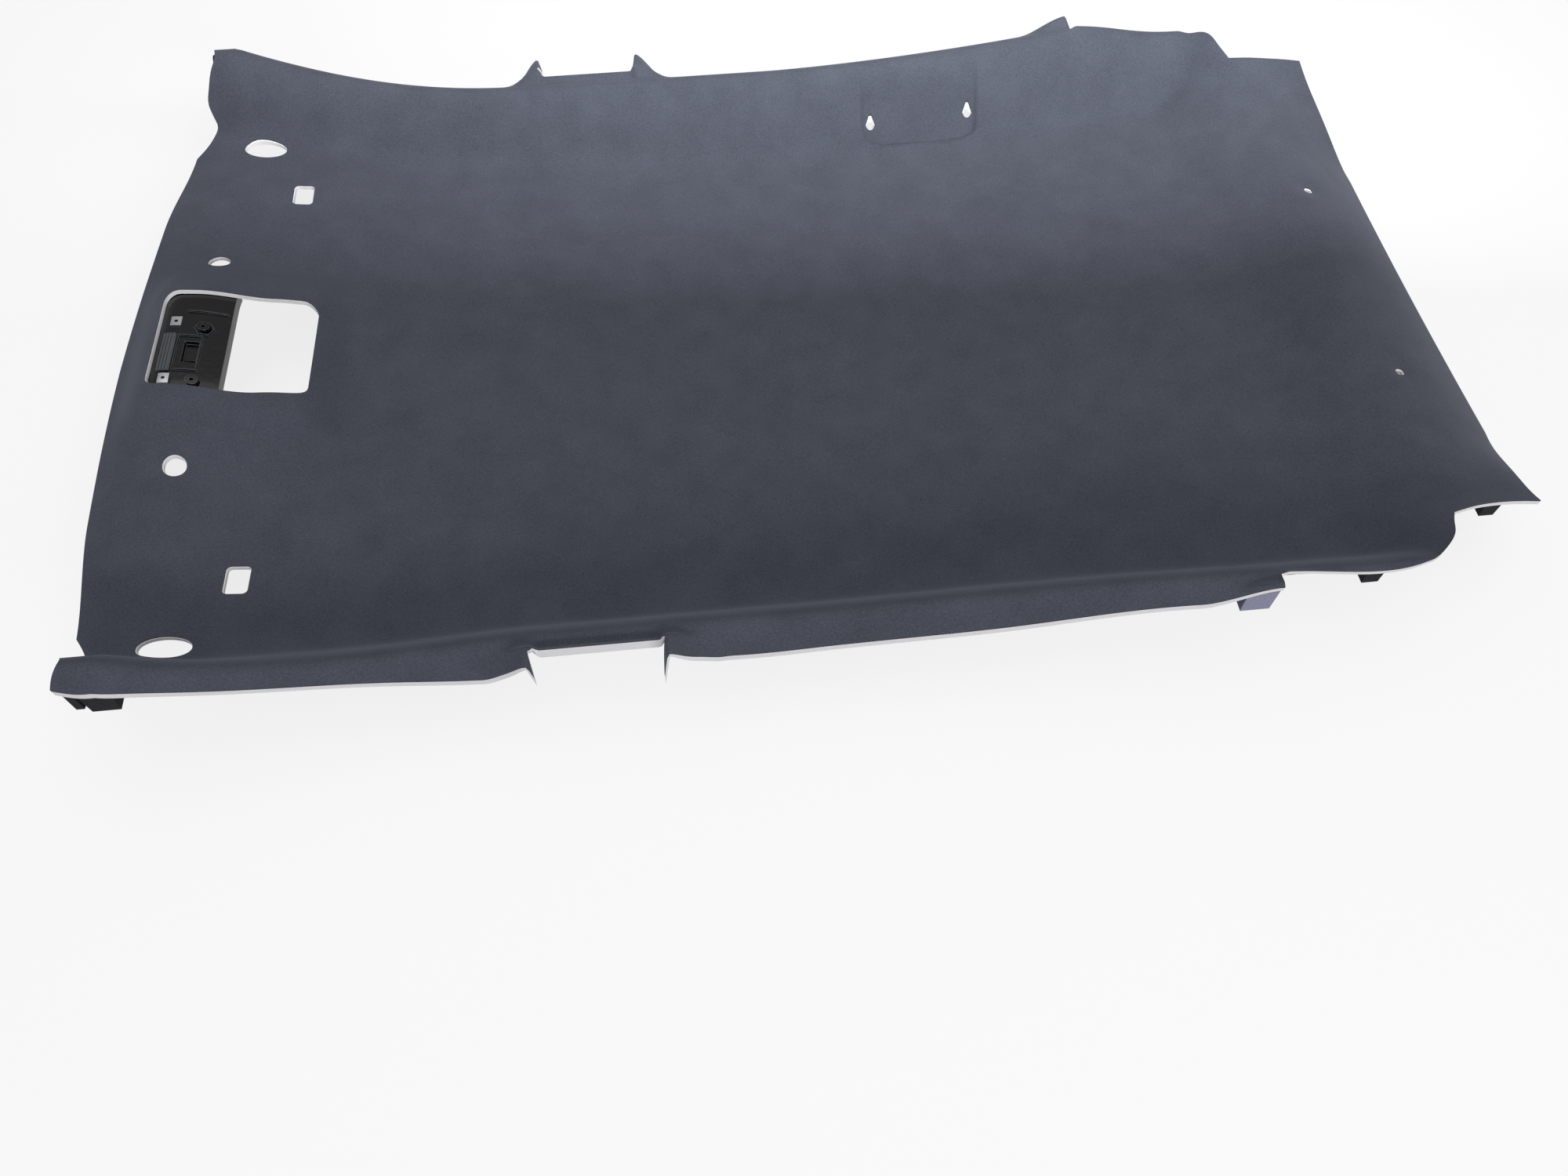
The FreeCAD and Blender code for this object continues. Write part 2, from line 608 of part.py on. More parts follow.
def handle_openings():
    """Two drop-shaped holes in the pocket, their points towards the crest."""
    openings = []
    wide = size.handle_hole_width / 2
    tip = size.handle_hole_point
    corners = [Vector(wide, 0, 0), Vector(wide / 4, tip, 0), Vector(-wide / 4, tip, 0),
               Vector(-wide, 0, 0)]
    rounded = Part.Arc(corners[3], Vector(0, -size.handle_hole_round, 0), corners[0]).toShape()
    outline = Part.Wire([rounded] + Part.makePolygon(corners).Edges)
    for end, label in ((-1, "front"), (1, "rear")):
        hole = feature("handle_hole_" + label, Part.Face(outline).extrude(
            Vector(0, 0, 3 * highest)))
        openings.append(place(hole, from_front(
            f"sizes.pocket_front + {end} * sizes.handle_hole_spacing / 2"),
            f"sizes.handle_hole_{label}_half", "-20"))
    return openings


def all_openings():
    openings = [console_opening()]
    for side in sides:
        half = side_name(side)
        openings.append(oval_opening(side))
        openings.append(hook_opening(side))
        openings.append(drill("round_opening_" + half, "sizes.round_hole_radius",
                              from_front("sizes.round_hole_front"),
                              f"{side} * sizes.round_hole_half"))
        openings.append(drill("clip_opening_" + half, "sizes.clip_hole_radius",
                              from_rear("sizes.clip_hole_rear"),
                              f"{side} * sizes.clip_hole_half"))
    return join("openings", openings + handle_openings())


openings = all_openings()
pieces = [cut("substrate_board", feature("board_blank", board_blank), openings),
          cut("face_fabric", feature("fabric_blank", fabric_blank), openings)]
board_underside = layer_surface(full_thickness)


def space_below(name, x, y, length, width, raised=0):
    """Space under the board's lower face around x, y, or under that face raised by an amount."""
    patch = part_of_surface(board_underside, x, y, length, width)
    patch.translate(Vector(0, 0, raised))
    return feature(name, patch.extrude(Vector(0, 0, -3 * highest)))


# Bracket for the overhead console, bonded under the front of its cutout.

bracket_x = (front_end + size.console_front
             + (size.bracket_reach - size.bracket_margin) / 2)
bracket_length = size.bracket_reach + size.bracket_margin
bracket_width = 2 * (size.console_half + size.bracket_margin)


def below(name, raised=0):
    return space_below(name, bracket_x, 0, bracket_length, bracket_width, raised)


def bracket_at(back):
    return from_front(f"sizes.console_front + {back}")


def layer_of(name, base, top, foot):
    """The part of base between two heights, both measured from the board's lower face."""
    return cut(name, common(name + "_block", base, below(name + "_top", top)),
               below(name + "_foot", foot))


def boss_place(side):
    return f"sizes.boss_middle + {side} * sizes.boss_spacing / 2"


def ridges():
    """Upright ridges on the bracket: a frame, a straight one and a six-sided collar."""
    frame_x = bracket_at("sizes.frame_back")
    frame = cut("frame_ridge",
                block("frame_outside", "sizes.frame_length", "sizes.frame_width", str(highest),
                      frame_x, "sizes.frame_middle", "0"),
                block("frame_inside", "sizes.frame_length - 2 * sizes.ridge_width",
                      "sizes.frame_width - 2 * sizes.ridge_width", str(highest), frame_x,
                      "sizes.frame_middle", "0"))
    straight = block("rail_ridge", "sizes.rail_length", "sizes.ridge_width", str(highest),
                     bracket_at("sizes.rail_back"), "sizes.rail_half", "0")
    walls = []
    for radius in (size.collar_radius, size.collar_radius - size.ridge_width):
        corners = [Vector(radius * math.cos(turn * math.pi / 3), radius * math.sin(turn * math.pi / 3),
                          0) for turn in range(7)]
        prism = Part.Face(Part.makePolygon(corners)).extrude(Vector(0, 0, highest))
        walls.append(place(feature(f"collar_{radius:.0f}", prism), bracket_at("sizes.boss_back"),
                           boss_place(1), "0"))
    return join("all_ridges", [frame, straight, cut("collar", *walls)])


def console_bracket():
    length = "sizes.bracket_reach + sizes.bracket_margin"
    width = "2 * sizes.console_half + 2 * sizes.bracket_margin"
    middle = from_front("sizes.console_front - sizes.bracket_margin + (" + length + ") / 2")
    whole = block("bracket_block", length, width, str(highest), middle, "0", "0")
    inside = block("bracket_inside", length + " - 2 * sizes.bracket_thickness",
                   width + " - 2 * sizes.bracket_thickness", str(highest), middle, "0", "0")
    parts = [layer_of("bracket_plate", whole, 0, -size.bracket_thickness),
             layer_of("bracket_rim", cut("bracket_rim_wall", whole, inside), 0,
                      -size.bracket_rib_height)]
    middle_well = bracket_at("sizes.well_back")
    wall = "2 * sizes.bracket_thickness"
    tub = block("well_tub", "sizes.well_length + " + wall, "sizes.well_width + " + wall,
                str(highest), middle_well, "sizes.well_middle", "0")
    tub_depth = size.well_depth + size.slot_depth + size.bracket_thickness
    parts.append(layer_of("bracket_tub", tub, 0, -tub_depth))
    parts.append(layer_of("bracket_ridges", ridges(), size.ridge_height, -size.bracket_thickness))
    bosses = [drill("boss_" + side_name(side), "sizes.bracket_boss_radius",
                    bracket_at("sizes.boss_back"), boss_place(side), "0", highest)
              for side in sides]
    parts.append(layer_of("bracket_bosses", join("both_bosses", bosses), size.bracket_boss_height,
                          -size.bracket_thickness))
    well = block("well", "sizes.well_length", "sizes.well_width", str(highest), middle_well,
                 "sizes.well_middle", "0")
    slot = block("slot", "sizes.slot_length", "sizes.slot_width", str(highest), middle_well,
                 "sizes.slot_middle", "0")
    hollows = [layer_of("well_space", well, 2, -size.well_depth),
               layer_of("slot_space", slot, -size.well_depth + 1,
                        -size.well_depth - size.slot_depth)]
    hollows += [drill("bracket_screw_" + side_name(side), "sizes.bracket_screw_radius",
                      bracket_at("sizes.boss_back"), boss_place(side)) for side in sides]
    return cut("console_bracket", join("bracket_body", parts), join("bracket_hollows", hollows))


def console_clip(side):
    half = side_name(side)
    x = bracket_at("sizes.clip_back")
    y = f"sizes.clip_middle + {side} * sizes.clip_spacing / 2"
    outer = block("clip_block_" + half, "sizes.clip_length", "sizes.clip_width", str(highest),
                  x, y, "0")
    hollow = drill("clip_hole_" + half, "sizes.clip_hole_size", x, y, "0", highest)
    return cut("console_clip_" + half, layer_of("clip_solid_" + half, outer, size.clip_height, 0),
               hollow)


def console_strip():
    x = bracket_at("sizes.strip_back")
    bar = block("strip_bar", "sizes.strip_length", "sizes.strip_width", str(highest), x,
                "sizes.strip_middle", "0")
    parts = [layer_of("strip_base", bar, size.strip_height - size.strip_groove, 0)]
    for number in range(4):
        rib = block(f"strip_rib_{number + 1}", "sizes.strip_length / 4 - sizes.strip_groove",
                    "sizes.strip_width", str(highest),
                    f"{x} + {number - 1.5} * sizes.strip_length / 4", "sizes.strip_middle", "0")
        parts.append(layer_of(f"strip_ridge_{number + 1}", rib, size.strip_height, 0))
    return join("console_strip", parts)


pieces += [console_bracket(), console_strip()]
pieces += [console_clip(side) for side in sides]


# Blocks bonded under the rails.

def rail_block(kind, side, x, foot):
    """Block that hangs from the board's lower face and narrows down to its foot."""
    name = f"{kind}_{side_name(side)}"
    length = f"sizes.{kind}_length"
    width = f"sizes.{kind}_width"
    taper = doc.addObject("Part::Wedge", name + "_taper")
    bind(taper, Xmin=f"-{foot} / 2", Xmax=f"{foot} / 2", X2min=f"-{length} / 2",
         X2max=f"{length} / 2", Zmin=f"-{width} / 2", Zmax=f"{width} / 2",
         Z2min=f"-{width} / 2", Z2max=f"{width} / 2", Ymin="0",
         Ymax=f"sizes.crest_height + sizes.ear_lift - sizes.{kind}_foot_height")
    taper.Placement.Rotation = Rotation(Vector(1, 0, 0), 90)
    place(taper, x, f"{side} * sizes.{kind}_half", f"sizes.{kind}_foot_height")
    doc.recompute()
    middle = taper.Placement.Base
    space = space_below(name + "_space", middle.x, middle.y, getattr(size, kind + "_length"),
                        getattr(size, kind + "_width"))
    return common(name, taper, space)


for side in sides:
    pieces += [
        rail_block("front_block", side, from_front("sizes.front_block_front"),
                   "sizes.front_block_foot"),
        rail_block("ear_wedge", side, from_front("sizes.ear_wedge_front"),
                   "sizes.ear_wedge_length"),
        rail_block("pillar_block", side, from_rear("sizes.pillar_block_rear"),
                   "sizes.pillar_block_foot"),
        rail_block("quarter_wedge", side, from_rear("sizes.quarter_wedge_rear"),
                   "sizes.quarter_wedge_foot"),
        rail_block("rear_wedge", side, from_rear("sizes.rear_wedge_rear"),
                   "sizes.rear_wedge_foot"),
    ]

doc.recompute()
failed = [item.Label for item in doc.Objects if "Invalid" in item.State or "Error" in item.State]
if failed:
    raise RuntimeError("failed: " + ", ".join(failed))

os.makedirs("parts", exist_ok=True)
for piece in pieces:
    shape = piece.Shape
    if shape.isNull() or not shape.isValid() or not shape.Solids:
        raise RuntimeError(f"{piece.Label} has no valid shape")
    print(f"{piece.Label:22} {len(shape.Solids)} solid, {shape.Volume / 1000:9.1f} cm3")
    shape.exportStep(f"parts/{piece.Label}.step")
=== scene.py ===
# Moulded car headliner lying fabric side up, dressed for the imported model.
# The panel's own sizes are in millimetres and turned to metres as its meshes are made.
import json
import math

import bpy
import numpy as np
from mathutils import Matrix, Vector, geometry


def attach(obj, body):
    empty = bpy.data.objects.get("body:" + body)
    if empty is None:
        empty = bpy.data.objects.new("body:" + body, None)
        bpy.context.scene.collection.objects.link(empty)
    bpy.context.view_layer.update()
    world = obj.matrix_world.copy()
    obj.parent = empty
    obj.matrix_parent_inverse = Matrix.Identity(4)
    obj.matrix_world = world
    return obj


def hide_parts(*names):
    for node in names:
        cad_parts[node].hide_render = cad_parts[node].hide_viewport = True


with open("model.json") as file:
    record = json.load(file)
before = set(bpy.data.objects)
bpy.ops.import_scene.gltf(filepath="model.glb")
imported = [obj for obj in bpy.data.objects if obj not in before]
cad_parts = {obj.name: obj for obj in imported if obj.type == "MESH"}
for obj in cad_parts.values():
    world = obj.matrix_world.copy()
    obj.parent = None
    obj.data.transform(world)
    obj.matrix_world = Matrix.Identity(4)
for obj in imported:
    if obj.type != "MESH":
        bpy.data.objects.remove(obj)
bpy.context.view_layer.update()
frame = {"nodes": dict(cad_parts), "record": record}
mm = 0.001


# Height of the panel over its plan, in words: a crowned roof area, a raised platform round the
# console and two raised rear corners are joined by a soft cove to a side rail, which is a straight
# wall, a round crest and a straight lip. front and rear are distances from the two ends, half is
# the distance from the centre plane. All of it works on whole arrays.
panel = {
    "length": 2031, "fabric": 2, "board": 5.5,
    "steepest": 3.2,  # greatest vertical thickness on a steep wall, as a share of the true one
    "settle": 0.24,  # the panel sinks this much to rest on its lowest point
    "bellyFront": 1030, "frontRise": 80, "rearRise": 72, "sideRise": 8, "sideHalf": 420,
    "headerRise": 14, "header": (370, 230), "visorRise": 16, "visor": (226, 120),
    "visorHalf": (300, 470), "frontDrop": 30, "frontDropLength": 90,
    "shelfRise": 40, "shelf": (318, 148), "rearDrop": 90, "rearDropLength": 168,
    "calmHalf": (300, 480), "wingRise": 58, "wingHalf": 300, "wingWidth": 190, "wing": (308, 193),
    "platformHeight": 52, "platformHalf": (235, 86), "platformFront": 102,
    "platformEnd": (341, 271),
}
rail = {
    "half": 566, "height": 132.5, "earWiden": 29, "earWidenAt": (630, 180), "earLift": 87,
    "earLiftFrom": 566, "earLiftLength": 430, "pillar": 462, "pillarWiden": 21, "pillarLift": 31,
    "quarterNarrow": 6, "quarterDrop": 14, "quarterEnd": 275, "cornerDrop": 75,
    "corner": (263, 168), "radius": 31, "wall": 1.9, "earWall": 2.4, "lip": 2.3, "cove": 30,
    "earCove": 20, "ear": (336, 141), "notch": 633, "notchLength": 166, "notchHalf": 581,
    "flange": 9, "flangeRise": 19, "quarterFlange": 5, "horn": 70, "hornRear": 95,
    "hornRise": 22, "hornTilt": 1.9, "rearRise": 19, "rearTilt": 1.35,
    "stepFade": 30, "notchFade": (3, 9), "quarterFade": 16, "mostUp": 1.2,
    "turnFrom": 15, "turnSoft": 8, "raise": (2, 19),
}
# The grab handle's pocket, pressed into the left wall
pocket = {
    "front": 1299, "halfLength": 102, "depth": 16, "low": 476, "cornerUp": 16, "crease": (-2.5, 4),
    "bend": 42, "bendLength": 48, "endFade": 3, "upperFade": (73, 25),
}
# The soft dimples that the rear clips pull
dimple = {"depth": 4.5, "radius": 18, "rings": (8, 11, 14, 18, 22)}
frontEnd = -panel["length"] / 2
rearEnd = panel["length"] / 2


def step(value, start, end):  # 0 before start, 1 past end, smooth in between
    share = np.clip((value - start) / (end - start), 0, 1)
    return share * share * (3 - 2 * share)


def past(value):  # the value where it is positive, else 0
    return np.maximum(value, 0)


def doorShare(rear):  # 0 at the lowest point of the crown, 1 at the step behind the rear doors
    doorEnd = panel["length"] - panel["bellyFront"]
    return np.minimum(past(doorEnd - rear) / (doorEnd - rail["pillar"]), 1)


# Half width of the crest: the door width, wider towards the ear and towards the rear step
def crestHalf(front, rear):
    half = rail["half"] + rail["earWiden"] * step(front, *rail["earWidenAt"])
    half = half + rail["pillarWiden"] * doorShare(rear) ** 2.2
    return half - rail["quarterNarrow"] * step(rear, rail["pillar"], rail["quarterEnd"])


# Height of the crest: the door height plus two power curves to the ear and the rear step, less
# smooth falls behind that step and into the corner
def crestHeight(front, rear):
    ear = np.minimum(past(rail["earLiftFrom"] - front) / rail["earLiftLength"], 1)
    height = rail["height"] + rail["earLift"] * ear ** 2.4
    height = height + rail["pillarLift"] * doorShare(rear) ** 1.4
    height = height - rail["quarterDrop"] * step(rear, rail["pillar"], rail["quarterEnd"])
    return height - rail["cornerDrop"] * step(rear, *rail["corner"])


# Lift of the lip: beside the notch and before the rear step it is a rise plus a tilt times the
# distance beyond the crest; in the notch and behind the step a narrow edge turns up as a square
def pillarEdge(front, rear, half, beyond):
    notchEnd = rail["notch"] + rail["notchLength"]
    besideNotch = (step(front, rail["notch"] - rail["horn"], rail["notch"])
                   * step(front, notchEnd + rail["horn"], notchEnd))
    beforeStep = (step(rear, rail["pillar"] + rail["hornRear"], rail["pillar"])
                  * step(rear, rail["pillar"] - rail["stepFade"], rail["pillar"]))
    before, inside = rail["notchFade"]
    notch = (step(front, rail["notch"] - before, rail["notch"] + inside)
             * step(front, notchEnd + before, notchEnd - inside))
    quarter = (step(rear, rail["pillar"], rail["pillar"] - rail["quarterFade"])
               * step(rear, rail["quarterEnd"] + rail["stepFade"], rail["pillar"]))
    up = np.clip((half - rail["notchHalf"] + rail["flange"]) / rail["flange"], 0, rail["mostUp"])
    outwards = beyond - rail["turnFrom"]
    turned = (outwards + np.hypot(outwards, rail["turnSoft"])) / 2
    raised = step(beyond, *rail["raise"])
    lift = besideNotch * (1 - notch) * (rail["hornRise"] * raised + rail["hornTilt"] * turned)
    lift = lift + beforeStep * (rail["rearRise"] * raised + rail["rearTilt"] * turned)
    return lift + (notch * rail["flangeRise"] + quarter * rail["quarterFlange"]) * up ** 2


def sideRail(front, rear, half):  # wall and lip are the two slopes of a hyperbola round the crest
    beyond = half - crestHalf(front, rear)
    wall = rail["wall"] + (rail["earWall"] - rail["wall"]) * step(front, *rail["ear"])
    rounding = np.hypot(beyond, rail["radius"]) - rail["radius"]
    height = crestHeight(front, rear) - (rail["lip"] - wall) / 2 * beyond
    return height - (wall + rail["lip"]) / 2 * rounding + pillarEdge(front, rear, half, beyond)


# Crowned roof area: parabolas along and across the vehicle from the lowest point, smooth steps for
# header, visor band and rear shelf, and power curves for the falls to both ends
def crown(front, rear, half):
    height = panel["board"] + panel["fabric"] - panel["settle"]
    belly = panel["bellyFront"]
    height = height + panel["frontRise"] * (past(belly - front) / belly) ** 2
    height = height + panel["rearRise"] * (past(front - belly) / (panel["length"] - belly)) ** 2
    height = height + panel["sideRise"] * (half / panel["sideHalf"]) ** 2
    height = height + panel["headerRise"] * step(front, *panel["header"])
    height = height + (panel["visorRise"] * step(front, *panel["visor"])
                       * (1 - step(half, *panel["visorHalf"])))
    lastFront = past(panel["frontDropLength"] - front) / panel["frontDropLength"]
    height = height - panel["frontDrop"] * lastFront ** 2
    calm = 1 - 0.5 * step(half, *panel["calmHalf"])
    height = height + panel["shelfRise"] * step(rear, *panel["shelf"]) * calm
    lastRear = past(panel["rearDropLength"] - rear) / panel["rearDropLength"]
    return height - panel["rearDrop"] * lastRear ** 1.8 * calm


# Depth of the pocket: sharp steps at its ends and lower crease, whose ends turn up as a parabola,
# and a slow fade into the wall above
def handlePocket(front, side):
    along = np.abs(front - pocket["front"])
    bend = past(along - pocket["halfLength"] + pocket["bend"]) / pocket["bendLength"]
    low = pocket["low"] + pocket["cornerUp"] * bend ** 2
    ends = step(along, pocket["halfLength"] + pocket["endFade"],
                pocket["halfLength"] - pocket["endFade"])
    crease = step(side, low + pocket["crease"][0], low + pocket["crease"][1])
    fadeEnd, fadeStart = pocket["upperFade"]
    return pocket["depth"] * ends * crease * step(side, low + fadeEnd, low + fadeStart)


def clipDimples(rear, half):  # a bell curve round each clip hole
    clip = openings["clip"]
    away = np.hypot(rear - clip["rear"], half - clip["half"]) / dimple["radius"]
    return dimple["depth"] * np.exp(-away ** 2)


# Height of the fabric's face: roof and side rail joined by a soft maximum, less pocket and dimples
def fabricHeight(x, y):
    front = x - frontEnd
    rear = rearEnd - x
    half = np.abs(y)
    platform = (panel["platformHeight"] * step(half, *panel["platformHalf"])
                * step(front, 0, panel["platformFront"]) * step(front, *panel["platformEnd"]))
    wing = (panel["wingRise"] * (past(half - panel["wingHalf"]) / panel["wingWidth"]) ** 1.9
            * step(rear, *panel["wing"]))
    roof = crown(front, rear, half) + platform + wing
    soft = rail["cove"] + (rail["earCove"] - rail["cove"]) * step(front, *rail["ear"])
    side = sideRail(front, rear, half)
    joined = (roof + side + np.hypot(roof - side, soft)) / 2
    return joined - handlePocket(front, y) - clipDimples(rear, half)


def thickening(x, y):  # vertical thickness for each millimetre of true thickness
    slopeX = (fabricHeight(x + 1, y) - fabricHeight(x - 1, y)) / 2
    slopeY = (fabricHeight(x, y + 1) - fabricHeight(x, y - 1)) / 2
    return np.minimum(np.sqrt(1 + slopeX ** 2 + slopeY ** 2), panel["steepest"])


# Plan outline and openings, as closed runs of points about edgeSpacing apart.
outlineShape = {
    "frontBow": 36, "frontBowHalf": 434, "frontEnd": 480, "rearStraight": 285,
    "cornerHalf": 488, "cornerSweep": 62, "quarterHalf": 583, "edgeSpacing": 3.5,
}
openings = {
    "fabricMargin": 1.3, "clipMargin": 2, "consoleShift": (-1.2, 1.2),  # the knit is cut back
    "console": {"front": 79, "length": 212, "half": 94, "bow": 3, "corner": 20},
    "visor": {"front": 154, "half": 501, "length": 66, "width": 35},
    "hook": {"front": 225, "half": 393, "length": 30, "width": 44, "corner": 6},
    "round": {"front": 123, "half": 208, "radius": 15},
    "clip": {"rear": 126, "half": 205, "radius": 5},
    "handle": {"spacing": 176, "half": (504.5, 510), "width": 16, "round": 4.5, "point": 8.5},
}


def evenly(points, spacing):  # the same polyline with corners kept and long edges divided
    pieces = [np.linspace(a, b, max(2, int(round(math.dist(a, b) / spacing)) + 1))[:-1]
              for a, b in zip(points, points[1:])]
    return np.vstack(pieces + [points[-1:]])


def smoothThrough(points, spacing):  # natural cubic spline over the chord length
    points = np.asarray(points, float)
    chord = np.hypot(*np.diff(points, axis=0).T)
    place = np.concatenate([[0], np.cumsum(chord)])
    matrix = np.eye(len(points))
    right = np.zeros_like(points)
    for row in range(1, len(points) - 1):
        matrix[row, row - 1:row + 2] = chord[row - 1], 2 * (chord[row - 1] + chord[row]), chord[row]
        right[row] = 6 * ((points[row + 1] - points[row]) / chord[row]
                          - (points[row] - points[row - 1]) / chord[row - 1])
    bend = np.linalg.solve(matrix, right)
    at = np.linspace(0, place[-1], max(3, int(place[-1] / spacing)))
    left = np.clip(np.searchsorted(place, at, side="right") - 1, 0, len(chord) - 1)
    length = chord[left][:, None]
    back = at[:, None] - place[left][:, None]
    ahead = length - back
    return (bend[left] * ahead ** 3 + bend[left + 1] * back ** 3) / (6 * length) + (
        (points[left] / length - bend[left] * length / 6) * ahead
        + (points[left + 1] / length - bend[left + 1] * length / 6) * back)


def lipPoint(x, reach):
    return (x, float(crestHalf(x - frontEnd, rearEnd - x)) + reach)


def halfOutline():  # left half, from the middle of the front edge to the middle of the rear edge
    shape = outlineShape
    gap = shape["edgeSpacing"]
    ear = frontEnd + shape["frontBow"]
    end = shape["frontEnd"]
    notchFront = frontEnd + rail["notch"]
    notchRear = notchFront + rail["notchLength"]
    notchHalf = rail["notchHalf"]
    pillar = rearEnd - rail["pillar"]
    front = [(frontEnd + shape["frontBow"] * (half / shape["frontBowHalf"]) ** 1.6, half)
             for half in np.linspace(0, end, 9)]
    earTip = (ear + 57, float(crestHalf(shape["frontBow"] + 57, panel["length"])) + 22)
    earEdge = [front[-1], (ear + 22, end + 23), (ear + 36, end + 42), (ear + 44, end + 51),
               (ear + 41, end + 58), (ear + 38, end + 65), (ear + 44, end + 76), (ear + 56, end + 92),
               (ear + 65, end + 104), (ear + 66, end + 114), (ear + 62, end + 126), earTip]
    hornFront = (notchFront + 2, notchHalf + 34)
    hornRear = (notchRear - 6, notchHalf + 33)
    frontLip = [earTip, lipPoint(ear + 85, 26), lipPoint(ear + 128, 24), lipPoint(ear + 206, 18.5),
                lipPoint(ear + 332, 17), lipPoint(ear + 418, 21), lipPoint(notchFront - 82, 28),
                lipPoint(notchFront - 42, 33), lipPoint(notchFront - 18, 42), hornFront]
    notch = [hornFront, (notchFront - 3, notchHalf + 9), (notchFront + 5, notchHalf),
             (notchRear - 7, notchHalf), (notchRear, notchHalf + 3), hornRear]
    doorLip = [hornRear, lipPoint(notchRear + 19, 42), lipPoint(notchRear + 42, 32.5),
               lipPoint(notchRear + 92, 28), lipPoint(0, 27), lipPoint(pillar - 325, 26),
               lipPoint(pillar - 128, 21), lipPoint(pillar - 2, 22)]
    quarterHalf = shape["quarterHalf"]
    shelfFront = (rearEnd - shape["cornerSweep"] - 127, shape["cornerHalf"] + 11)
    quarter = [(pillar + 4, quarterHalf), (rearEnd - rail["quarterEnd"] - 43, quarterHalf),
               (rearEnd - rail["quarterEnd"], quarterHalf - 4), (rearEnd - 242, quarterHalf - 14),
               (rearEnd - 215, quarterHalf - 39), (rearEnd - 203, quarterHalf - 62), shelfFront]
    corner = (rearEnd - shape["cornerSweep"], shape["cornerHalf"])
    shelf = [shelfFront, (shelfFront[0] + 26, shape["cornerHalf"] + 6), corner]
    straight = (rearEnd, shape["rearStraight"])
    rearCorner = [corner, (rearEnd - 50, corner[1] - 38), (rearEnd - 31, corner[1] - 88),
                  (rearEnd - 13, straight[1] + 60), straight]
    runs = [smoothThrough(front, gap), smoothThrough(earEdge, gap), smoothThrough(frontLip, gap),
            evenly(notch, gap), smoothThrough(doorLip, gap), smoothThrough(quarter, gap),
            smoothThrough(shelf, gap), smoothThrough(rearCorner, gap),
            evenly([straight, (rearEnd, 0)], gap)]
    half = np.vstack(runs)
    keep = np.concatenate([[True], np.hypot(*np.diff(half, axis=0).T) > 0.05])
    return half[keep]


def mirrored(half):  # the left half and its mirror image as one closed run
    return np.vstack([half, half[-2:0:-1] * (1, -1)])


# Four quarter circles joined by straight sides, which a squared cosine bows outwards
def roundedRectangle(x, y, length, width, corner, bow=0, points=7):
    quarter = np.linspace(0, math.pi / 2, points)
    loop = []
    for turn, (sx, sy) in enumerate(((1, 1), (-1, 1), (-1, -1), (1, -1))):
        angle = quarter + turn * math.pi / 2
        loop.append(np.column_stack([sx * (length / 2 - corner) + corner * np.cos(angle),
                                     sy * (width / 2 - corner) + corner * np.sin(angle)]))
    loop = evenly(np.vstack(loop + [loop[0][:1]]), 5)[:-1]
    loop[:, 1] += bow * np.sign(loop[:, 1]) * np.cos(loop[:, 0] / length * math.pi) ** 2
    return loop + (x, y)


def ellipse(x, y, radiusX, radiusY, points=40):  # cosine and sine of evenly spaced angles
    angle = np.linspace(0, 2 * math.pi, points, endpoint=False)
    return np.column_stack([x + radiusX * np.cos(angle), y + radiusY * np.sin(angle)])


def drop(x, y, width, low, point):  # an arc below, pointed towards the crest
    half = width / 2
    radius = (half * half + low * low) / (2 * low)
    reach = math.asin(half / radius)
    angle = np.linspace(-reach, reach, 12)
    arc = np.column_stack([radius * np.sin(angle), radius - low - radius * np.cos(angle)])
    return np.vstack([arc, [(half / 4, point), (-half / 4, point)]]) + (x, y)


def openingLoops(fabric=False):  # closed runs round every opening of the board or the fabric
    console, visor, hook, roundHole, clip, handle = (
        openings[name] for name in ("console", "visor", "hook", "round", "clip", "handle"))
    wider = openings["fabricMargin"] if fabric else 0
    clipRadius = clip["radius"] + (openings["clipMargin"] if fabric else 0)
    shift = openings["consoleShift"] if fabric else (0, 0)
    middle = frontEnd + console["front"] + console["length"] / 2
    loops = [roundedRectangle(middle + shift[0], shift[1], console["length"] + 2 * wider,
                              2 * (console["half"] + wider), console["corner"] + wider,
                              console["bow"])]
    for side in (1, -1):
        loops.append(ellipse(frontEnd + visor["front"], side * visor["half"],
                             visor["length"] / 2 + wider, visor["width"] / 2 + wider))
        loops.append(roundedRectangle(frontEnd + hook["front"], side * hook["half"],
                                      hook["length"] + 2 * wider, hook["width"] + 2 * wider,
                                      hook["corner"] + wider))
        loops.append(ellipse(frontEnd + roundHole["front"], side * roundHole["half"],
                             roundHole["radius"] + wider, roundHole["radius"] + wider, 28))
        loops.append(ellipse(rearEnd - clip["rear"], side * clip["half"], clipRadius, clipRadius,
                             16))
    for end, half in zip((-1, 1), handle["half"]):
        loops.append(drop(frontEnd + pocket["front"] + end * handle["spacing"] / 2, half,
                          handle["width"] + wider, handle["round"] + wider / 2,
                          handle["point"] + wider / 2))
    return loops


def insideLoop(points, loop):  # even-odd count of the loop's edges that a ray along +x crosses
    x0, y0 = loop[:, 0], loop[:, 1]
    x1, y1 = np.roll(x0, -1), np.roll(y0, -1)
    px, py = points[:, :1], points[:, 1:]
    straddles = (y0 > py) != (y1 > py)
    across = x0 + (py - y0) / np.where(y1 == y0, 1, y1 - y0) * (x1 - x0)
    return np.count_nonzero(straddles & (px < across), axis=1) % 2 == 1


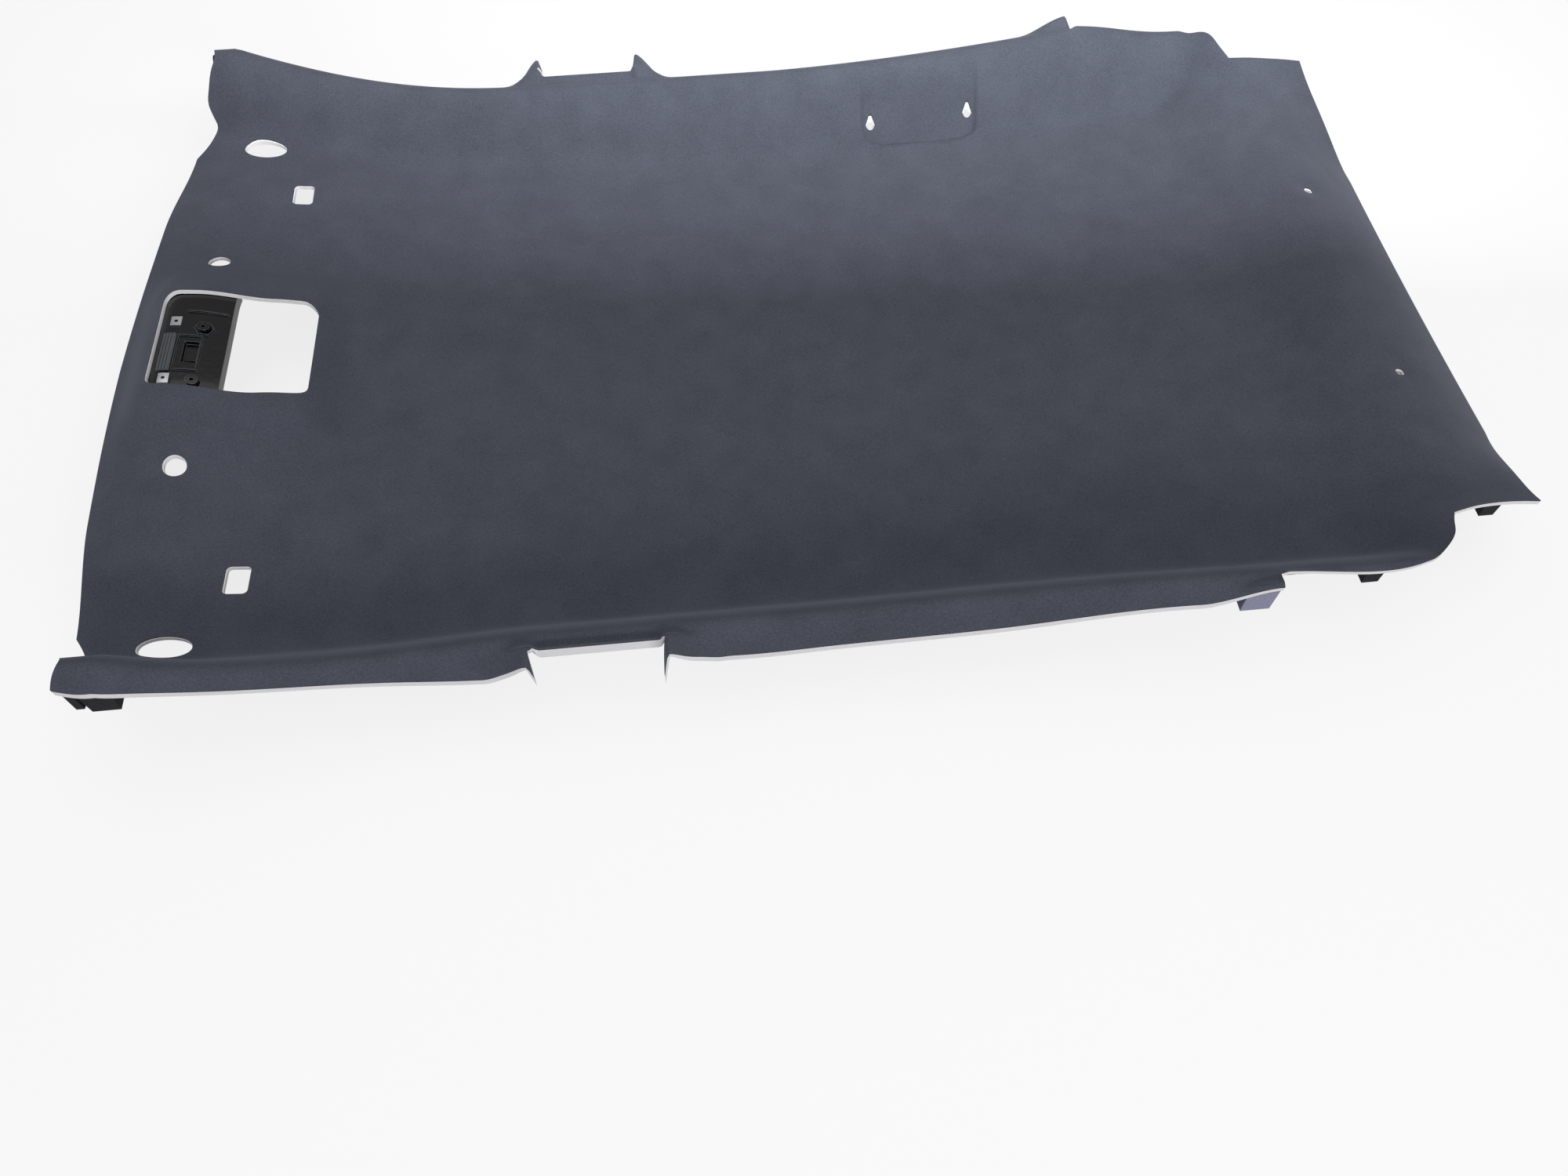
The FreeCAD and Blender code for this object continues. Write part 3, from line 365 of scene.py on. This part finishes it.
def inPanel(points, loops, batch=20000):  # inside the outline and outside every opening
    inside = np.zeros(len(points), bool)
    for start in range(0, len(points), batch):
        part = slice(start, start + batch)
        inside[part] = insideLoop(points[part], loops[0])
        for loop in loops[1:]:
            inside[part] &= ~insideLoop(points[part], loop)
    return inside


# Grid of the panel's plan: lines keep their distance from the crest on the rails, where the
# shape turns quickly, and are evenly spread between them.
meshSpacing = {
    "floor": 15, "along": 11, "detail": 3.2, "clear": 1.9,
    "railStart": -160.0, "railStops": [(-104, 9), (-40, 4.5), (44, 3.6)],  # beyond the crest
    "floorHalf": 410,
}


def spaced(start, stops):  # even runs from stop to stop, each stop with its own spacing
    runs = [np.array([start])]
    for stop, spacing in stops:
        begin = runs[-1][-1]
        runs.append(np.linspace(begin, stop, max(1, round((stop - begin) / spacing)) + 1)[1:])
    return np.concatenate(runs)


def planPoints(loops):  # grid points inside the panel, clear of every edge
    fine = meshSpacing["detail"]
    along = meshSpacing["along"]
    notchFront = frontEnd + rail["notch"]
    notchRear = notchFront + rail["notchLength"]
    pocketFront = frontEnd + pocket["front"] - pocket["halfLength"]
    pocketRear = frontEnd + pocket["front"] + pocket["halfLength"]
    pillar = rearEnd - rail["pillar"]
    stations = spaced(frontEnd, [
        (notchFront - rail["horn"], along), (notchFront - 12, 7), (notchFront + 16, fine),
        (notchRear - 16, 14), (notchRear + 12, fine), (notchRear + rail["horn"], 7),
        (pocketFront - 10, 14), (pocketFront + 10, fine), (pocketFront + 42, 6),
        (pocketRear - 42, 12), (pocketRear - 10, 6), (pocketRear + 10, fine),
        (pillar - rail["hornRear"], 14), (pillar - 10, 7), (pillar + 22, fine),
        (rearEnd - rail["quarterEnd"], 12), (rearEnd, along)])
    crest = crestHalf(stations - frontEnd, rearEnd - stations)
    railStart = meshSpacing["railStart"]
    middle = np.linspace(0, 1, int(meshSpacing["floorHalf"] / meshSpacing["floor"]), endpoint=False)
    fromCrest = spaced(railStart, meshSpacing["railStops"])
    halves = np.hstack([(crest[:, None] + railStart) * middle, crest[:, None] + fromCrest])
    x = np.repeat(stations, halves.shape[1])
    left = np.column_stack([x, halves.ravel()])
    points = np.vstack([left, left[left[:, 1] > 1] * (1, -1)])
    clip = openings["clip"]
    for side in (1, -1):  # rings that carry the dimples
        for radius in dimple["rings"]:
            points = np.vstack([points, ellipse(rearEnd - clip["rear"], side * clip["half"],
                                                radius, radius, 18)])
    points = points[inPanel(points, loops)]
    edges = np.vstack([np.vstack([loop, (loop + np.roll(loop, -1, axis=0)) / 2]) for loop in loops])
    near = np.zeros(len(points), bool)
    order = np.argsort(edges[:, 0])
    edges = edges[order]
    clear = meshSpacing["clear"]
    low = np.searchsorted(edges[:, 0], points[:, 0] - clear)
    high = np.searchsorted(edges[:, 0], points[:, 0] + clear)
    for offset in range(int((high - low).max())):
        at = low + offset
        valid = at < high
        gap = np.hypot(*(edges[np.minimum(at, len(edges) - 1)] - points).T)
        near |= valid & (gap < clear)
    return points[~near]


def planMesh(fabric=False):  # plan points and triangles
    loops = [mirrored(halfOutline())] + openingLoops(fabric)
    inner = planPoints(loops)
    starts = np.cumsum([0] + [len(loop) for loop in loops])
    borders = [np.column_stack([np.arange(start, start + len(loop)),
                                start + (np.arange(len(loop)) + 1) % len(loop)])
               for start, loop in zip(starts, loops)]
    points = np.vstack(loops + [inner])
    result = geometry.delaunay_2d_cdt([Vector(point) for point in points.tolist()],
                                      np.vstack(borders).tolist(), [], 0, 1e-6)
    points = np.array([tuple(point) for point in result[0]])
    triangles = np.array(result[2])
    centres = points[triangles].mean(axis=1)
    triangles = triangles[inPanel(centres, loops)]
    a, b, c = (points[triangles[:, corner]] for corner in range(3))
    turn = np.cross(b - a, c - a)
    triangles[turn < 0] = triangles[turn < 0][:, ::-1]
    return points, triangles[np.abs(turn) > 1e-4]


knitGrid = {"stations": 240, "half": 640, "lines": 641}


# Map of the knit: the place along the panel, and the length walked over the surface from its
# centre, which is summed on a grid and read between its lines
def knitMap(points):
    stations = np.linspace(frontEnd, rearEnd, knitGrid["stations"])
    halves = np.linspace(-knitGrid["half"], knitGrid["half"], knitGrid["lines"])
    x, y = np.meshgrid(stations, halves, indexing="ij")
    height = fabricHeight(x, y)
    walked = np.cumsum(np.hypot(halves[1] - halves[0], np.diff(height, axis=1)), axis=1)
    walked = np.hstack([np.zeros((len(stations), 1)), walked])
    centre = knitGrid["lines"] // 2
    walked -= walked[:, centre:centre + 1]
    lastRow, lastColumn = knitGrid["stations"] - 1.001, knitGrid["lines"] - 1.001
    row = np.clip((points[:, 0] - stations[0]) / (stations[1] - stations[0]), 0, lastRow)
    column = np.clip((points[:, 1] - halves[0]) / (halves[1] - halves[0]), 0, lastColumn)
    i, j = row.astype(int), column.astype(int)
    u, v = row - i, column - j
    across = (walked[i, j] * (1 - u) * (1 - v) + walked[i + 1, j] * u * (1 - v)
              + walked[i, j + 1] * (1 - u) * v + walked[i + 1, j + 1] * u * v)
    return np.column_stack([points[:, 0], across]) * mm


# Closed solid between two depths: both faces are the fabric's height less their depth times the
# thickening, and a strip of quads closes every border
def layer(name, plan, triangles, upper, lower, materials):
    x, y = plan.T
    face = fabricHeight(x, y)
    share = thickening(x, y)
    count = len(plan)
    top = np.column_stack([x, y, face - upper * share])
    under = np.column_stack([x, y, face - lower * share])
    sides = np.vstack([triangles[:, [0, 1]], triangles[:, [1, 2]], triangles[:, [2, 0]]])
    key = sides[:, 0] * count + sides[:, 1]
    border = sides[~np.isin(key, sides[:, 1] * count + sides[:, 0])]
    rim = len(border)
    # walls have their own points, so that the cut edge stays crisp
    points = np.vstack([top, under, top[border[:, 0]], top[border[:, 1]], under[border[:, 1]],
                        under[border[:, 0]]])
    first = 2 * count + np.arange(rim)
    walls = np.column_stack([first + rim, first, first + 3 * rim, first + 2 * rim])
    mesh = bpy.data.meshes.new(name)
    flat = np.vstack([triangles, triangles[:, ::-1] + count])
    corners = np.concatenate([flat.ravel(), walls.ravel()])
    mesh.vertices.add(len(points))
    mesh.vertices.foreach_set("co", (points * mm).ravel())
    mesh.loops.add(len(corners))
    mesh.loops.foreach_set("vertex_index", corners)
    starts = np.concatenate([np.arange(len(flat)) * 3, len(flat) * 3 + np.arange(rim) * 4])
    mesh.polygons.add(len(starts))
    mesh.polygons.foreach_set("loop_start", starts)
    mesh.polygons.foreach_set("material_index",
                              np.concatenate([np.zeros(len(triangles), int),
                                              np.ones(len(triangles), int),
                                              np.full(rim, 2)]))
    mesh.polygons.foreach_set("use_smooth", np.ones(len(starts), bool))
    mesh.update(calc_edges=True)
    knit = mesh.uv_layers.new(name="knit")
    knit.data.foreach_set("uv", knitMap(points[:, :2])[corners].ravel())
    mesh.validate()
    piece = bpy.data.objects.new(name, mesh)
    bpy.context.collection.objects.link(piece)
    for material in materials:
        mesh.materials.append(material)
    return piece


# Materials. Each starts from what the real one is and how its surface was made.

def linear(hexColour):  # sRGB hex to linear colour
    channels = np.array([int(hexColour[i:i + 2], 16) / 255 for i in (1, 3, 5)])
    low = channels / 12.92
    high = ((channels + 0.055) / 1.055) ** 2.4
    return (*np.where(channels <= 0.04045, low, high).tolist(), 1.0)


def newMaterial(name, **settings):
    material = bpy.data.materials.new(name)
    material.use_nodes = True
    shader = material.node_tree.nodes["Principled BSDF"]
    for socket, value in settings.items():
        shader.inputs[socket.replace("_", " ")].default_value = value
    return material, material.node_tree, shader


def addNode(tree, kind, settings=None, **links):
    node = tree.nodes.new("ShaderNode" + kind)
    for name, value in (settings or {}).items():
        if isinstance(name, str) and hasattr(node, name):
            setattr(node, name, value)
        else:
            node.inputs[name].default_value = value
    for socket, source in links.items():
        target = node.inputs[int(socket[2:])] if socket.startswith("at") else node.inputs[socket]
        tree.links.new(source, target)
    return node


def ramp(tree, source, stops):  # stops are (place, hex colour)
    node = addNode(tree, "ValToRGB", Fac=source)
    elements = node.color_ramp.elements
    for number, (place, colour) in enumerate(stops):
        element = elements[number] if number < 2 else elements.new(place)
        element.position = place
        element.color = linear(colour)
    return node.outputs["Color"]


# Warp-knit polyester on foam: matte, with a soft sheen at a flat angle and a fine heather grain
# The stitches are drawn coarser than the real ones, so that they show
knitLook = {"dark": "#343741", "light": "#585c68", "stitch": 1.5, "row": 1.1, "grain": 2.2,
            "mottle": 55, "bump": 0.35}


def knitFabric():
    material, tree, shader = newMaterial("knittedPolyester", Roughness=0.92, Specular_IOR_Level=0.25,
                                         Sheen_Weight=0.28, Sheen_Roughness=0.45)
    shader.inputs["Sheen Tint"].default_value = linear("#c9cede")
    place = addNode(tree, "UVMap", {"uv_map": "knit"}).outputs["UV"]
    body = addNode(tree, "TexCoord").outputs["Object"]
    stitches = addNode(tree, "Mapping", {"Scale": (1 / (knitLook["stitch"] * mm),
                                                   1 / (knitLook["row"] * mm), 1)}, Vector=place)
    loops = addNode(tree, "TexVoronoi", {"Scale": 1.0, "Randomness": 0.45},
                    Vector=stitches.outputs["Vector"]).outputs["Distance"]
    grain = addNode(tree, "TexNoise", {"Scale": 1 / (knitLook["grain"] * mm), "Detail": 3.0,
                                       "Roughness": 0.7}, Vector=body).outputs["Fac"]
    mottle = addNode(tree, "TexNoise", {"Scale": 1 / (knitLook["mottle"] * mm), "Detail": 2.0},
                     Vector=body).outputs["Fac"]
    shade = addNode(tree, "Math", {"operation": "MULTIPLY_ADD", 1: 0.75, 2: 0.06}, at0=grain)
    soft = addNode(tree, "Math", {"operation": "MULTIPLY_ADD", 1: 0.22}, at0=mottle,
                   at2=shade.outputs[0])
    depth = addNode(tree, "Math", {"operation": "MULTIPLY_ADD", 1: -0.16}, at0=loops,
                    at2=soft.outputs[0])
    colour = ramp(tree, depth.outputs[0], [(0.2, knitLook["dark"]), (0.72, knitLook["light"])])
    tree.links.new(colour, shader.inputs["Base Color"])
    height = addNode(tree, "Math", {"operation": "MULTIPLY_ADD", 1: -0.6}, at0=loops, at2=grain)
    bump = addNode(tree, "Bump", {"Strength": knitLook["bump"], "Distance": 0.0006},
                   Height=height.outputs[0])
    tree.links.new(bump.outputs["Normal"], shader.inputs["Normal"])
    return material


# Rigid polyurethane foam with glass fibre, sawn or water-jet cut: off-white, chalky, finely porous
def cutBoard(name, light, dark, size, strength):
    material, tree, shader = newMaterial(name, Roughness=0.85, Specular_IOR_Level=0.3)
    body = addNode(tree, "TexCoord").outputs["Object"]
    pores = addNode(tree, "TexNoise", {"Scale": 1 / (size * mm), "Detail": 4.0,
                                       "Roughness": 0.65}, Vector=body).outputs["Fac"]
    colour = ramp(tree, pores, [(0.3, dark), (0.62, light)])
    tree.links.new(colour, shader.inputs["Base Color"])
    bump = addNode(tree, "Bump", {"Strength": strength, "Distance": 0.001}, Height=pores)
    tree.links.new(bump.outputs["Normal"], shader.inputs["Normal"])
    return material


# Injection-moulded ABS: glossy, with a faint flow waviness and a painted highlight on its edges: the
# base colour turns to plasticLook's light grey edge colour where the bevel rounds an edge
plasticLook = {"edge": "#8a8d96", "edgeRadius": 0.9, "flowScale": 90.0}


def mouldedPlastic(name, colour, roughness):
    material, tree, shader = newMaterial(name, Roughness=roughness, IOR=1.53)
    body = addNode(tree, "TexCoord").outputs["Object"]
    flow = addNode(tree, "TexNoise", {"Scale": plasticLook["flowScale"], "Detail": 2.0},
                   Vector=body).outputs["Fac"]
    edge = addNode(tree, "Bevel", {"samples": 4, "Radius": plasticLook["edgeRadius"] * mm}
                   ).outputs["Normal"]
    bump = addNode(tree, "Bump", {"Strength": 0.12, "Distance": 0.002}, Height=flow, Normal=edge)
    tree.links.new(bump.outputs["Normal"], shader.inputs["Normal"])
    flat = addNode(tree, "NewGeometry").outputs["Normal"]
    turned = addNode(tree, "VectorMath", {"operation": "DOT_PRODUCT"}, at0=edge, at1=flat)
    # painted highlight: the base colour is lighter where the bevel normal turns away from the flat
    # face
    paintedEdgeHighlight = ramp(tree, turned.outputs["Value"], [(0.8, plasticLook["edge"]), (0.97, colour)])
    tree.links.new(paintedEdgeHighlight, shader.inputs["Base Color"])
    return material


# Zinc-plated spring steel strip: bright, an even plated finish
def springSteel():
    material, tree, shader = newMaterial("platedSpringSteel", Metallic=1.0, Roughness=0.28)
    shader.inputs["Base Color"].default_value = linear("#d8dadd")
    return material


print("surfaces ready")
fabricCloth = knitFabric()
boardCut = cutBoard("cutFoamBoard", "#ffffff", "#ecebf4", 1.4, 0.25)
boardFleece = cutBoard("glassFleece", "#e4e3ea", "#c3c2cc", 6, 0.4)
faceFabric = layer("faceFabric", *planMesh(fabric=True), 0, panel["fabric"],
                   [fabricCloth, boardFleece, fabricCloth])
board = layer("substrateBoard", *planMesh(), panel["fabric"], panel["fabric"] + panel["board"],
              [boardCut, boardFleece, boardCut])
for piece in (faceFabric, board):
    print(piece.name, sum(len(face.vertices) - 2 for face in piece.data.polygons), "triangles")
for piece, node, slot in ((faceFabric, "face_fabric", "knit_fabric"),
                          (board, "substrate_board", "moulded_board")):
    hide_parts(node)
    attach(piece, "root")
print("panel done")

# Small pieces keep their CAD solids and get their own finish
blackPlastic = mouldedPlastic("blackAbs", "#08080a", 0.2)
greyPlastic = mouldedPlastic("greyAbs", "#4a4e52", 0.4)
steel = springSteel()
blackFoam = cutBoard("blackFoamBlock", "#26262b", "#141417", 2.5, 0.5)
greyFoam = cutBoard("greyFoamBlock", "#a2a3bb", "#8687a0", 2.5, 0.4)
finishes = {"black_plastic": blackPlastic, "grey_plastic": greyPlastic, "spring_steel": steel,
            "black_foam": blackFoam, "grey_foam": greyFoam}
slots = {entry["node"]: entry["material_slot"] for entry in frame["record"]["subparts"]}
for node, piece in frame["nodes"].items():
    if slots.get(node) in finishes:
        for materialSlot in piece.material_slots:
            materialSlot.material = finishes[slots[node]]


# Floor, light and camera
stage = {"floor": 30, "pale": "#f4f4f4", "ground": "#6a6a6c", "glow": 0.8, "world": 0.3}
lamps = [  # name, place, aim, size, power
    ("keyWindow", (1.3, -6.0, 2.7), (0.1, 0.2, 0.05), (4.5, 1.6), 190),
    ("lowWindow", (0.3, 0.02, 0.8), (0.38, 1.0, 0.9), (2.0, 0.4), 28),
    ("topSoftbox", (0.2, 0.1, 3.2), (0.2, 0.2, 0.05), (4.5, 4.5), 50),
]


def studio():
    mesh = bpy.data.meshes.new("floor")
    half = stage["floor"] / 2
    mesh.from_pydata([(-half, -half, 0), (half, -half, 0), (half, half, 0), (-half, half, 0)], [],
                     [(0, 1, 2, 3)])
    floor = bpy.data.objects.new("floor", mesh)
    bpy.context.collection.objects.link(floor)
    material, tree, shader = newMaterial("paleFloor", Roughness=0.9)
    rays = addNode(tree, "LightPath")
    tone = addNode(tree, "MixRGB", {"Color1": linear(stage["ground"]),
                                    "Color2": linear(stage["pale"])},
                   Fac=rays.outputs["Is Camera Ray"])
    tree.links.new(tone.outputs["Color"], shader.inputs["Base Color"])
    seen = rays.outputs["Is Camera Ray"]
    for kind in ("Is Glossy Ray", "Is Transmission Ray"):
        seen = addNode(tree, "Math", {"operation": "MAXIMUM"}, at0=seen,
                       at1=rays.outputs[kind]).outputs[0]
    share = addNode(tree, "Math", {"operation": "MULTIPLY", 1: stage["glow"]}, at0=seen)
    glow = addNode(tree, "Emission", {"Color": (1, 1, 1, 1), "Strength": 1.0})
    mixed = addNode(tree, "MixShader", at0=share.outputs[0], at1=shader.outputs[0],
                    at2=glow.outputs[0])
    tree.links.new(mixed.outputs[0], tree.nodes["Material Output"].inputs["Surface"])
    mesh.materials.append(material)
    world = bpy.data.worlds.new("studio")
    world.use_nodes = True
    bpy.context.scene.world = world
    back = world.node_tree.nodes["Background"]
    back.inputs["Color"].default_value = (1, 1, 1, 1)
    back.inputs["Strength"].default_value = stage["world"]
    for name, place, aim, size, power in lamps:
        light = bpy.data.lights.new(name, "AREA")
        light.shape = "RECTANGLE"
        light.size, light.size_y = size
        light.energy = power
        lamp = bpy.data.objects.new(name, light)
        lamp.location = place
        lamp.rotation_euler = (Vector(aim) - Vector(place)).to_track_quat("-Z", "Y").to_euler()
        lamp.visible_camera = False
        bpy.context.collection.objects.link(lamp)


# Viewing angle of the photograph
view = {"at": (-0.1401, -1.3623, 1.4398), "yaw": 5.2404, "pitch": 57.0234, "roll": -0.5779,
        "lens": 27.912}


def camera():
    yaw, pitch, roll = (math.radians(view[name]) for name in ("yaw", "pitch", "roll"))
    ahead = Vector((math.sin(yaw) * math.cos(pitch), math.cos(yaw) * math.cos(pitch),
                    -math.sin(pitch)))
    right = Vector((math.cos(yaw), -math.sin(yaw), 0))
    up = right.cross(ahead)
    turnedRight = math.cos(roll) * right + math.sin(roll) * up
    turnedUp = -math.sin(roll) * right + math.cos(roll) * up
    lens = bpy.data.cameras.new("photoView")
    lens.lens = view["lens"]
    lens.sensor_width = 36
    lens.sensor_fit = "HORIZONTAL"
    eye = bpy.data.objects.new("photoView", lens)
    eye.matrix_world = Matrix.Translation(view["at"]) @ Matrix(
        (turnedRight, turnedUp, -ahead)).transposed().to_4x4()
    bpy.context.collection.objects.link(eye)
    bpy.context.scene.camera = eye


studio()
camera()
bpy.context.scene.view_settings.view_transform = "Standard"
print("studio done")
